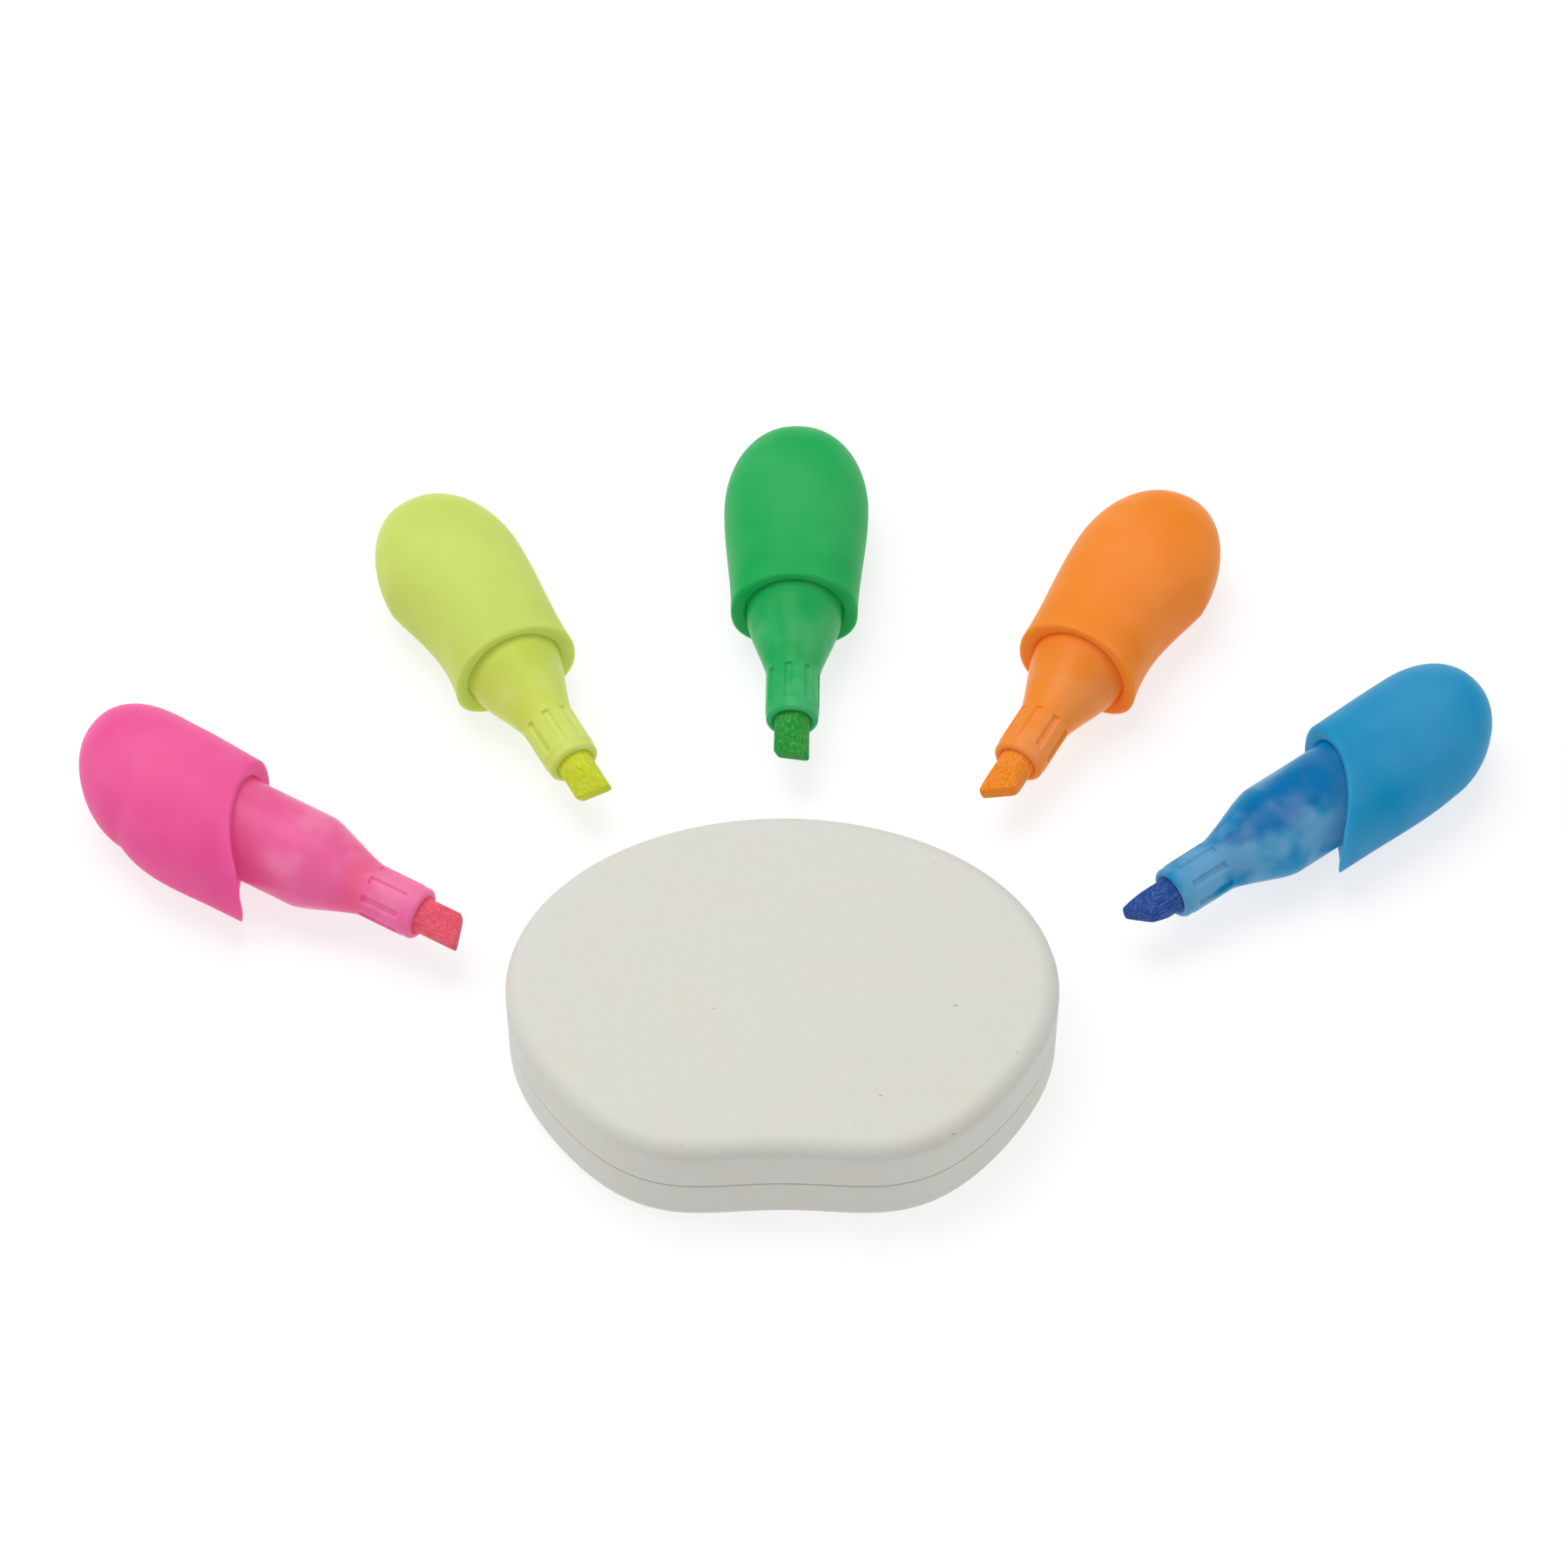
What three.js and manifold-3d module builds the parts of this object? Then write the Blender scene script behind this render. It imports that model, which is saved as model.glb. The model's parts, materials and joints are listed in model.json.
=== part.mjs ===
// Travel highlighter set: a bean-shaped case and five short highlighters that stow nib-first in it.
// Units are millimetres and +Z is up. The origin is on the underside of the case, at its centre.
// The highlighters fan out behind the case, on +Y, each drawn straight out of its own socket.
import * as THREE from "three";
import { mergeVertices } from "three/addons/utils/BufferGeometryUtils.js";
import Module from "manifold-3d";

const wasm = await Module();
wasm.setup();

const gap = 0.3; // between any two pieces that touch or part
const overrun = 1; // how far a cutting solid runs past the face it cuts through

// ---- Highlighters: the sizes that all five share ----
const barrelRadius = 6.4;
const barrelWall = 1.2;
const barrelTail = 1.2; // how far the barrel runs on behind the shell's belly
const neckRadius = 3.6;
const neckLength = 7.7;
const collarRadius = 3.5;
const shoulderLength = 9.5;
const shoulderEase = [0.18, 0.82]; // how long its curve hugs the neck and the barrel, as shares of its length
const nibRadius = 2.35;
const nibReach = 6.4; // how far the nib stands out of the collar
const nibTail = 9; // how far it runs back inside the neck
const nibEdge = 0.9; // thickness of the chisel's writing edge
const chiselLength = 4.6;
const chiselSlant = THREE.MathUtils.degToRad(20); // the writing edge's angle to the nib's own cross-section
const reservoirClearance = 0.4;
const plugLength = 3;
const plugFlange = 0.8;
const boreLead = 1; // how far the nib's bore runs on behind the neck
const roundSegments = 20;

// The shell around the barrel's back part.
const shellSideWall = 1.5;
const shellFaceWall = 1.1;
const shellEndWall = 1.6;
const shellSideGap = 0.7; // between its walls and the barrel
const shellFaceGap = 0.5;
const shellHalfThickness = barrelRadius + shellFaceGap + shellFaceWall;
const mouthHalfWidth = barrelRadius + shellSideGap + shellSideWall;
const bellyShare = 0.56; // where the shell is widest, as a share of its length from the mouth
const sectionExponent = 2.25; // 2 is an ellipse, and more is squarer
const flareExponent = 3; // how long the flare keeps its width behind the mouth
const leanExponent = 1.4; // how gently the lean sets in behind the belly
const railThickness = 1; // of the two rails in the shell that grip the barrel's sides
const railInset = 1; // between the rails and the shell's mouth and back end
const mouthOverrun = 14; // how far the shell is drawn past its mouth before the mouth is cut
const trimHinge = 3.5; // how far past the mouth the point lies that the trimming cut is turned about

// ---- Case: as thick as the highlighters' shells ----
const caseLength = 70;
const caseDepth = 51.6;
const caseHeight = 2 * shellHalfThickness;
const caseEdgeRadius = 2.3;
const caseWall = 1.5;
const caseFaceWall = 1.2; // of the flat top and the flat underside
const lobeSwell = 0.19; // how far the two near lobes stand out, as a share of the half depth
const waistDent = 0.015; // how far the near side draws in between the lobes, in the same share
const outlineSegments = 56;
const edgeSegments = 2;
const lipHeight = 1.2; // the bottom shell's lip, which stands up inside the top shell
const lipThickness = 0.7;
const lipRoot = 2; // how far down the bottom shell's wall the lip is joined to it
const bossRadius = 1.9;
const bossBore = 1.1;
const pinRadius = 0.8;
const pinLength = 3; // past the middle of the case, into the boss
const bossAngles = [33, 143, 226, 270, 314]; // places round the outline, clear of the sockets
const ribThickness = 1.2;
const ribMargin = 0.8; // how much wider than the sleeve's flange a rib is, on each side
const postSegments = 10;
const seatGap = 0.4; // between a stowed highlighter's shell and the case
const socketClearance = 0.3; // around the nose in the case's hole and in its cap sleeve

// ---- Cap sleeves: the cups inside the case that keep the nibs from drying ----
const sleeveWall = 0.7;
const sleeveFlange = 1.1;
const sleeveFlangeThickness = 1;
const sleeveLead = 1.5; // how far the sleeve's mouth comes up the shoulder
const sleeveTaper = 1; // length of the cone between the nib's bore and the neck's
const nibClearance = 0.35;
const sleeveSegments = 14;

// ---- Each highlighter: its place in the fan and its own lengths ----
// socket is its place round the outline, as outlinePoint measures it, and bearing is the way it is pulled
// out, both in degrees from +X. tipLine is the y that its nib's tip comes to when stowed, which sets how much
// of its barrel goes into the case. shell is the length of the shell from the mouth back, pull is the
// distance drawn out, and swell is how much further the shell stands out at its belly than at its mouth. dip
// is how far its outer side draws in behind the mouth, flare is how far that side stands out at the mouth, and
// lean is how far the round end lies to the inner side of the axis. trim is the angle by which its mouth is
// cut back further than the case's wall on the side of the next highlighter, so that a fingertip can get
// between them. roll is how far the nib is turned about its own axis.
const highlighters = [
  {
    name: "pink", colour: 0xee559c, socket: 163, bearing: 150,
    tipLine: -8.36, shell: 28.6, pull: 40.4, swell: 0.9, dip: 0, flare: 3, lean: 3, trim: 14, roll: -10,
  },
  {
    name: "yellow", colour: 0xcbdc62, socket: 121, bearing: 118.7,
    tipLine: 0.98, shell: 32.2, pull: 37.2, swell: 1.3, dip: 1.3, flare: 0, lean: 0, trim: 0, roll: 150,
  },
  {
    name: "green", colour: 0x24a857, socket: 88.5, bearing: 89,
    tipLine: 0.9, shell: 31.5, pull: 38.8, swell: 1.3, dip: 0, flare: 0, lean: 0, trim: 0, roll: 160,
  },
  {
    name: "orange", colour: 0xf7902f, socket: 53.9, bearing: 60.8,
    tipLine: -0.19, shell: 33, pull: 38.9, swell: 1.3, dip: 1.3, flare: 0, lean: 0, trim: 0, roll: -20,
  },
  {
    name: "blue", colour: 0x1290c8, socket: 13.8, bearing: 36.5,
    tipLine: -13.47, shell: 27.4, pull: 46.9, swell: 0.4, dip: 0, flare: 0.8, lean: 1.6, trim: 6, roll: -30,
  },
];

// ---- Solids ----

// A closed geometry as a solid that can be joined and cut.
function solidOf(geometry) {
  const bare = geometry.index ? geometry.toNonIndexed() : geometry.clone();
  bare.deleteAttribute("normal");
  bare.deleteAttribute("uv");
  const merged = mergeVertices(bare, 1e-4);
  const vertProperties = merged.attributes.position.array;
  const triVerts = new Uint32Array(merged.index.array);
  return new wasm.Manifold(new wasm.Mesh({ numProp: 3, vertProperties, triVerts }));
}

function geometryOf(solid) {
  const mesh = solid.getMesh();
  const geometry = new THREE.BufferGeometry();
  geometry.setAttribute("position", new THREE.BufferAttribute(mesh.vertProperties.slice(), 3));
  geometry.setIndex(new THREE.BufferAttribute(mesh.triVerts.slice(), 1));
  geometry.computeVertexNormals();
  return geometry;
}

// A turned solid about the Y axis. points are [radius, y], from the low end to the high end.
function turned(points, segments = roundSegments) {
  const profile = points.map(([radius, y]) => new THREE.Vector2(radius, y));
  return solidOf(new THREE.LatheGeometry(profile, segments));
}

function block(width, depth, height, x, y, z) {
  return solidOf(new THREE.BoxGeometry(width, depth, height).translate(x, y, z));
}

// An upright round rod on the point x, y, from z = low to z = high.
function post(radius, x, y, low, high) {
  const rod = new THREE.CylinderGeometry(radius, radius, high - low, postSegments).rotateX(Math.PI / 2);
  return solidOf(rod.translate(x, y, (low + high) / 2));
}

// ---- The case's outline: an ellipse whose near side swells into two lobes ----

function outlinePoint(angle, inset = 0) {
  const onCurve = (t) => {
    const across = Math.sin(t);
    const lobe = across < 0 ? lobeSwell * across ** 2 * Math.sin(2 * t) ** 2 : 0;
    const dent = across < 0 ? waistDent * across ** 16 : 0;
    return new THREE.Vector2((caseLength / 2) * Math.cos(t), (caseDepth / 2) * across * (1 + lobe - dent));
  };
  const step = 1e-3;
  const along = onCurve(angle + step).sub(onCurve(angle - step)).normalize();
  const outward = new THREE.Vector2(along.y, -along.x);
  return onCurve(angle).addScaledVector(outward, -inset);
}

function outlineShape(inset) {
  const points = [];
  for (let i = 0; i < outlineSegments; i += 1) {
    points.push(outlinePoint((2 * Math.PI * i) / outlineSegments, inset));
  }
  return new THREE.Shape(points);
}

// The outline drawn in by inset and raised from z = low to z = high, with its edges rounded by radius.
function slab(inset, low, high, radius) {
  const geometry = new THREE.ExtrudeGeometry(outlineShape(inset), {
    depth: high - low - 2 * radius,
    bevelEnabled: radius > 0,
    bevelThickness: radius,
    bevelSize: radius,
    bevelOffset: -radius,
    bevelSegments: edgeSegments,
    curveSegments: 1,
  });
  return solidOf(geometry.translate(0, 0, low + radius));
}

// ---- Where each highlighter sits ----
// Its own frame has Y along its axis, pointing the way it is pulled, and its origin where its axis meets
// the case's outline. seat is that frame when it is stowed.

function seatOf(pen) {
  const bearing = THREE.MathUtils.degToRad(pen.bearing);
  const pull = new THREE.Vector2(Math.cos(bearing), Math.sin(bearing));
  const mouth = outlinePoint(THREE.MathUtils.degToRad(pen.socket));
  const turn = bearing - Math.PI / 2;
  const matrix = new THREE.Matrix4().makeRotationZ(turn).setPosition(mouth.x, mouth.y, caseHeight / 2);
  return { mouth, pull, turn, matrix };
}

// Moves a solid in a highlighter's own frame to where it is in the case when stowed.
function stowed(pen, solid) {
  return solid.transform(seatOf(pen).matrix.elements);
}

function inPenFrame(pen, solid) {
  return solid.transform(seatOf(pen).matrix.clone().invert().elements);
}

// Distances along a highlighter's axis, from the case's outline inwards.
function nibTip(pen) {
  const { mouth, pull } = seatOf(pen);
  return (pen.tipLine - mouth.y) / pull.y;
}

const neckEnd = (pen) => nibTip(pen) + nibReach;
const neckStart = (pen) => neckEnd(pen) + neckLength;
const cavityEnd = (pen) => pen.shell - shellEndWall;
const belly = (pen) => pen.shell * bellyShare;
const barrelEnd = (pen) => belly(pen) + barrelTail;

// The bottle-shaped shoulder's outside, from the neck up to the barrel, grown by clearance.
function shoulder(pen, grown = 0) {
  const start = neckStart(pen);
  const curve = new THREE.CubicBezierCurve(
    new THREE.Vector2(neckRadius + grown, start),
    new THREE.Vector2(neckRadius + grown, start + shoulderLength * shoulderEase[0]),
    new THREE.Vector2(barrelRadius + grown, start + shoulderLength * shoulderEase[1]),
    new THREE.Vector2(barrelRadius + grown, start + shoulderLength),
  );
  return curve.getPoints(5).map((point) => [point.x, point.y]);
}

// ---- The pieces of one highlighter ----

function barrel(pen) {
  const outside = turned([
    [0, neckEnd(pen)],
    [collarRadius, neckEnd(pen)],
    ...shoulder(pen),
    [barrelRadius, barrelEnd(pen)],
    [0, barrelEnd(pen)],
  ]);
  const nibBore = nibRadius + gap;
  const chamber = barrelRadius - barrelWall;
  const hollow = turned([
    [0, neckEnd(pen) - overrun],
    [nibBore, neckEnd(pen) - overrun],
    [nibBore, neckStart(pen) + boreLead],
    [chamber, neckStart(pen) + shoulderLength],
    [chamber, barrelEnd(pen) + overrun],
    [0, barrelEnd(pen) + overrun],
  ]);
  return outside.subtract(hollow);
}

// A round stick whose end is cut to a slanted chisel by a plane above and a plane below.
function nib(pen) {
  const stick = turned([
    [0, nibTip(pen)],
    [nibRadius, nibTip(pen)],
    [nibRadius, neckEnd(pen) + nibTail],
    [0, neckEnd(pen) + nibTail],
  ]);
  const size = 4 * nibRadius;
  const face = Math.atan2(nibRadius - nibEdge / 2, chiselLength);
  const cutter = (side) => {
    const shape = new THREE.BoxGeometry(size, size, size).translate(0, 0, side * (size / 2));
    shape.rotateX(side * face).rotateZ(chiselSlant);
    return solidOf(shape.translate(0, nibTip(pen), side * (nibEdge / 2)));
  };
  const end = new THREE.BoxGeometry(size, size, size).translate(0, -size / 2, 0).rotateZ(chiselSlant);
  const endCut = solidOf(end.translate(0, nibTip(pen) + nibRadius * Math.tan(chiselSlant), 0));
  return stick.subtract(cutter(1)).subtract(cutter(-1)).subtract(endCut).rotate([0, pen.roll, 0]);
}

// The felt rod that holds the ink, between the nib's tail and the plug.
function reservoir(pen) {
  const radius = barrelRadius - barrelWall - reservoirClearance;
  const low = Math.max(neckEnd(pen) + nibTail + gap, neckStart(pen) + shoulderLength);
  const high = barrelEnd(pen) - plugLength - gap;
  return turned([
    [0, low],
    [radius, low],
    [radius, high],
    [0, high],
  ]);
}

// A stopper with a flange over the barrel's back end.
function tailPlug(pen) {
  const radius = barrelRadius - barrelWall - gap;
  return turned([
    [0, barrelEnd(pen) - plugLength],
    [radius, barrelEnd(pen) - plugLength],
    [radius, barrelEnd(pen) + gap],
    [barrelRadius, barrelEnd(pen) + gap],
    [barrelRadius, barrelEnd(pen) + gap + plugFlange],
    [0, barrelEnd(pen) + gap + plugFlange],
  ]);
}

// The side that faces away from the set's middle: 1 for +X in the highlighter's own frame, and -1 for -X.
function outerSide(pen) {
  return Math.sign(Math.cos(THREE.MathUtils.degToRad(pen.bearing)));
}

// The shell's half width on one side at a distance y behind the mouth: it swells from the mouth to the
// belly, and closes in a round end. The outer side can draw in just behind the mouth, or stand out at it.
function halfWidth(pen, y, side) {
  const outer = outerSide(pen) === side;
  const forward = THREE.MathUtils.clamp(y / belly(pen), 0, 1);
  const ease = THREE.MathUtils.smoothstep(forward, 0, 1);
  const dip = outer ? pen.dip * Math.sin(Math.PI * forward) : 0;
  const flare = outer ? pen.flare * (1 - forward ** flareExponent) : 0;
  return (mouthHalfWidth + pen.swell * ease + flare - dip) * endRound(pen, y);
}

// How far y is from the belly to the shell's end, as a share.
function pastBelly(pen, y) {
  return THREE.MathUtils.clamp((y - belly(pen)) / (pen.shell - belly(pen)), 0, 1);
}

// The quarter ellipse that closes the shell behind its belly: 1 up to the belly and 0 at the end.
function endRound(pen, y) {
  return Math.sqrt(1 - pastBelly(pen, y) ** 2);
}

// The shell's form, or its cavity when the walls are taken off, from y = front to its round back end.
function shellForm(pen, front, sideWall, faceWall, endWall) {
  const end = pen.shell - endWall;
  const widest = belly(pen);
  const stations = [front, 0, widest * 0.25, widest * 0.5, widest * 0.75, widest];
  for (let turn = 18; turn < 90; turn += 18) {
    stations.push(widest + (end - widest) * Math.sin(THREE.MathUtils.degToRad(turn)));
  }
  const profile = [[0, front], ...stations.map((y) => [1, y]), [0, end]];
  const lathe = new THREE.LatheGeometry(profile.map(([r, y]) => new THREE.Vector2(r, y)), roundSegments);
  const position = lathe.attributes.position;
  for (let i = 0; i < position.count; i += 1) {
    const x = position.getX(i);
    const z = position.getZ(i);
    const y = position.getY(i);
    const stretched = y > widest ? widest + ((y - widest) * (pen.shell - widest)) / (end - widest) : y;
    const square = Math.hypot(x, z) > 0.5
      ? (Math.abs(x) ** sectionExponent + Math.abs(z) ** sectionExponent) ** (-1 / sectionExponent) : 1;
    const wide = halfWidth(pen, stretched, Math.sign(x)) * (1 - sideWall / (mouthHalfWidth + pen.swell));
    const tall = (shellHalfThickness - faceWall) * endRound(pen, stretched);
    const aside = -outerSide(pen) * pen.lean * pastBelly(pen, stretched) ** leanExponent;
    position.setX(i, x * square * wide + aside);
    position.setZ(i, z * square * tall);
  }
  return solidOf(lathe);
}

function penShell(pen) {
  const front = -mouthOverrun;
  const outside = shellForm(pen, front, 0, 0, 0);
  const cavity = shellForm(pen, front - overrun, shellSideWall, shellFaceWall, shellEndWall);
  const hinge = new THREE.Matrix4().makeTranslation(outerSide(pen) * mouthHalfWidth, -trimHinge, 0);
  const trim = new THREE.Matrix4().makeRotationZ(THREE.MathUtils.degToRad(-outerSide(pen) * pen.trim));
  const trimmed = hinge.clone().multiply(trim).multiply(hinge.clone().invert());
  const caseSpace = inPenFrame(pen, slab(-seatGap, -caseHeight, 2 * caseHeight, 0));
  const mouthCut = caseSpace.add(caseSpace.transform(trimmed.elements));
  const railLength = cavityEnd(pen) - railInset;
  const railWidth = 2 * (mouthHalfWidth + pen.flare - shellSideWall / 2);
  const barrelSpace = turned([
    [0, front],
    [barrelRadius + gap, front],
    [barrelRadius + gap, pen.shell],
    [0, pen.shell],
  ]);
  const rails = block(railWidth, railLength, railThickness, 0, railInset + railLength / 2, 0)
    .subtract(barrelSpace)
    .intersect(outside);
  return outside.subtract(cavity).add(rails).subtract(mouthCut);
}

// ---- The pieces of the case ----

const middle = caseHeight / 2;
const sleeveMouth = (pen) => neckStart(pen) + sleeveLead;

// The outside of a cap sleeve, grown by clearance.
function sleeveForm(pen, grown = 0) {
  const mouth = sleeveMouth(pen) + grown;
  const bore = neckRadius + socketClearance;
  const nibBore = nibRadius + nibClearance;
  const floor = nibTip(pen) - nibClearance;
  const step = neckEnd(pen) - socketClearance;
  const flangeBack = sleeveMouth(pen) - sleeveFlangeThickness - grown;
  return turned([
    [0, floor - sleeveWall - grown],
    [nibBore - sleeveWall + grown, floor - sleeveWall - grown],
    [nibBore + sleeveWall + grown, floor + sleeveWall],
    [nibBore + sleeveWall + grown, step - sleeveTaper],
    [bore + sleeveWall + grown, step],
    [bore + sleeveWall + grown, flangeBack],
    [bore + sleeveWall + sleeveFlange + grown, flangeBack],
    [bore + sleeveWall + sleeveFlange + grown, mouth],
    [0, mouth],
  ], sleeveSegments);
}

// A cup that takes the neck and the nib: an open mouth with a flange, a step at the collar, a closed end.
function capSleeve(pen) {
  const mouth = sleeveMouth(pen);
  const bore = neckRadius + socketClearance;
  const nibBore = nibRadius + nibClearance;
  const floor = nibTip(pen) - nibClearance;
  const step = neckEnd(pen) - socketClearance;
  const hollow = turned([
    [0, floor],
    [nibBore - sleeveWall, floor],
    [nibBore, floor + sleeveWall],
    [nibBore, step],
    [bore, step],
    [bore, neckStart(pen)],
    [bore + sleeveFlange / 2, mouth],
    [bore + sleeveFlange / 2, mouth + overrun],
    [0, mouth + overrun],
  ], sleeveSegments);
  return stowed(pen, sleeveForm(pen).subtract(hollow));
}

// The room that a stowed highlighter's barrel takes inside the case and through its wall.
function noseSpace(pen) {
  return stowed(pen, turned([
    [0, neckStart(pen)],
    ...shoulder(pen, socketClearance),
    [barrelRadius + socketClearance, 2 * caseWall + mouthHalfWidth],
    [0, 2 * caseWall + mouthHalfWidth],
  ]));
}

// The two ribs that hold a sleeve's flange between them, as tall as the case.
function sleeveRibs(pen) {
  const width = 2 * (neckRadius + socketClearance + sleeveWall + sleeveFlange + ribMargin);
  const front = sleeveMouth(pen) + gap + ribThickness / 2;
  const back = sleeveMouth(pen) - sleeveFlangeThickness - gap - ribThickness / 2;
  const rib = (y) => block(width, ribThickness, caseHeight, 0, y, 0);
  return stowed(pen, rib(front).add(rib(back)));
}

function bossPlace(angle) {
  return outlinePoint(THREE.MathUtils.degToRad(angle), caseWall + bossRadius);
}

// The room along the top shell's wall for the bottom shell's lip, which the ribs keep out of.
function lipRoom() {
  const innerInset = caseWall + gap + lipThickness + gap;
  return slab(0, middle, middle + lipHeight + gap, 0).subtract(slab(innerInset, 0, caseHeight, 0));
}

// The case's walls with the ribs inside them, before it is parted into two shells.
function caseBody() {
  const innerRadius = caseEdgeRadius - caseFaceWall;
  const inside = slab(caseWall, caseFaceWall, caseHeight - caseFaceWall, innerRadius);
  const ribs = highlighters.map(sleeveRibs).reduce((all, one) => all.add(one));
  const freeRibs = ribs.intersect(inside).subtract(lipRoom());
  return slab(0, 0, caseHeight, caseEdgeRadius).subtract(inside).add(freeRibs);
}

function clearOfHighlighters(shell) {
  const rooms = highlighters.flatMap((pen) => [noseSpace(pen), stowed(pen, sleeveForm(pen, gap))]);
  return rooms.reduce((rest, room) => rest.subtract(room), shell);
}

// Half of the case, from z = low to z = high.
function halfOf(body, low, high) {
  return body.intersect(block(2 * caseLength, 2 * caseDepth, high - low, 0, 0, (low + high) / 2));
}

function bottomShell(body) {
  const seam = middle - gap / 2;
  const lipInset = caseWall + gap;
  const lip = slab(lipInset, seam - lipRoot, middle + lipHeight, 0)
    .add(slab(caseWall / 2, seam - lipRoot, seam, 0))
    .subtract(slab(lipInset + lipThickness, 0, caseHeight, 0));
  let shell = halfOf(body, 0, seam).add(lip);
  for (const angle of bossAngles) {
    const { x, y } = bossPlace(angle);
    shell = shell.add(post(bossRadius, x, y, caseFaceWall / 2, seam));
  }
  for (const angle of bossAngles) {
    const { x, y } = bossPlace(angle);
    shell = shell.subtract(post(bossBore, x, y, seam - pinLength - gap, caseHeight));
  }
  return clearOfHighlighters(shell);
}

function topShell(body) {
  let shell = halfOf(body, middle + gap / 2, caseHeight);
  for (const angle of bossAngles) {
    const { x, y } = bossPlace(angle);
    shell = shell.add(post(pinRadius, x, y, middle - pinLength, caseHeight - caseFaceWall / 2));
  }
  return clearOfHighlighters(shell);
}

// ---- The assembly ----

function piece(name, solid, colour, roughness, opacity = 1) {
  const material = new THREE.MeshStandardMaterial({ color: colour, roughness, metalness: 0 });
  material.transparent = opacity < 1;
  material.opacity = opacity;
  const mesh = new THREE.Mesh(geometryOf(solid), material);
  mesh.name = name;
  return mesh;
}

// One highlighter, drawn out of its socket along its own axis.
function highlighter(pen) {
  const { mouth, pull, turn } = seatOf(pen);
  const inkColour = new THREE.Color(pen.colour).multiplyScalar(0.8);
  const group = new THREE.Group();
  group.add(piece(`${pen.name}_shell`, penShell(pen), pen.colour, 0.35, 0.85));
  group.add(piece(`${pen.name}_barrel`, barrel(pen), pen.colour, 0.25, 0.6));
  group.add(piece(`${pen.name}_nib`, nib(pen), inkColour, 0.8));
  group.add(piece(`${pen.name}_reservoir`, reservoir(pen), inkColour, 0.9));
  group.add(piece(`${pen.name}_tail_plug`, tailPlug(pen), pen.colour, 0.4));
  group.rotation.z = turn;
  group.position.set(mouth.x + pull.x * pen.pull, mouth.y + pull.y * pen.pull, middle);
  return group;
}

const set = new THREE.Group();
const body = caseBody();
set.add(piece("case_bottom_shell", bottomShell(body), 0xdadcd2, 0.6));
set.add(piece("case_top_shell", topShell(body), 0xdadcd2, 0.6));
for (const pen of highlighters) {
  set.add(piece(`${pen.name}_cap_sleeve`, capSleeve(pen), 0xe8e8e4, 0.5));
  set.add(highlighter(pen));
}

export default set;
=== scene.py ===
# A travel highlighter set: the looks of the case and its five highlighters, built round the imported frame.
import json
import math

import bpy
import numpy as np
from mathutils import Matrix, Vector


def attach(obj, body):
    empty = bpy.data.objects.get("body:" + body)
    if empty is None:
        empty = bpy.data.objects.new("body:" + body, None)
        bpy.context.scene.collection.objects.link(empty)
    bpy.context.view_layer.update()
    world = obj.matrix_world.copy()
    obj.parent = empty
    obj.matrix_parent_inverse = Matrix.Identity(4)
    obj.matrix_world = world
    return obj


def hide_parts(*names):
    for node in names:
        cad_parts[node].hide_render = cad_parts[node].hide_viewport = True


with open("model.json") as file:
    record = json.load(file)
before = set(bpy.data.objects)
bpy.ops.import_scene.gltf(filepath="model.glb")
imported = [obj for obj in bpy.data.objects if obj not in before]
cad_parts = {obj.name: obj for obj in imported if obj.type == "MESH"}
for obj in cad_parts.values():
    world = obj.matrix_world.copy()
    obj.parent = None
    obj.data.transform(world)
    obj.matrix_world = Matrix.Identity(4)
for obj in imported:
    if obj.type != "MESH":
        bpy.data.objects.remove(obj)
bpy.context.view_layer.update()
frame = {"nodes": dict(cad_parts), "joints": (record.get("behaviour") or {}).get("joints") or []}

# ---- Dimensions in millimetres, the same as the CAD's ----

MM = 0.001
GAP = 0.3
BARREL_RADIUS = 6.4
BARREL_WALL = 1.2
BARREL_TAIL = 1.2
NECK_RADIUS = 3.6
NECK_LENGTH = 7.7
COLLAR_RADIUS = 3.5
SHOULDER_LENGTH = 9.5
SHOULDER_EASE = (0.18, 0.82)
NIB_RADIUS = 2.35
NIB_REACH = 6.4
NIB_TAIL = 9
NIB_EDGE = 0.9
CHISEL_LENGTH = 4.6
CHISEL_SLANT = math.radians(20)
RESERVOIR_CLEARANCE = 0.4
PLUG_LENGTH = 3
PLUG_FLANGE = 0.8
BORE_LEAD = 1

SHELL_SIDE_WALL = 1.5
SHELL_FACE_WALL = 1.1
SHELL_END_WALL = 1.6
SHELL_HALF_THICKNESS = BARREL_RADIUS + 0.5 + SHELL_FACE_WALL
MOUTH_HALF_WIDTH = BARREL_RADIUS + 0.7 + SHELL_SIDE_WALL
BELLY_SHARE = 0.56
SECTION_EXPONENT = 2.25
FLARE_EXPONENT = 3
LEAN_EXPONENT = 1.4
TRIM_HINGE = 3.5
MOUTH_REACH = 14  # how far from the axis, and past the mouth, its edge is followed

CASE_LENGTH = 70
CASE_DEPTH = 51.6
CASE_HEIGHT = 2 * SHELL_HALF_THICKNESS
CASE_EDGE = 2.3
CASE_WALL = 1.5
CASE_FACE_WALL = 1.2
LOBE_SWELL = 0.19
WAIST_DENT = 0.015
SEAT_GAP = 0.4
CLEARANCE = 0.3
SLEEVE_WALL = 0.7
SLEEVE_FLANGE = 1.1
SLEEVE_FLANGE_THICKNESS = 1
SLEEVE_LEAD = 1.5
SLEEVE_TAPER = 1
NIB_CLEARANCE = 0.35

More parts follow.
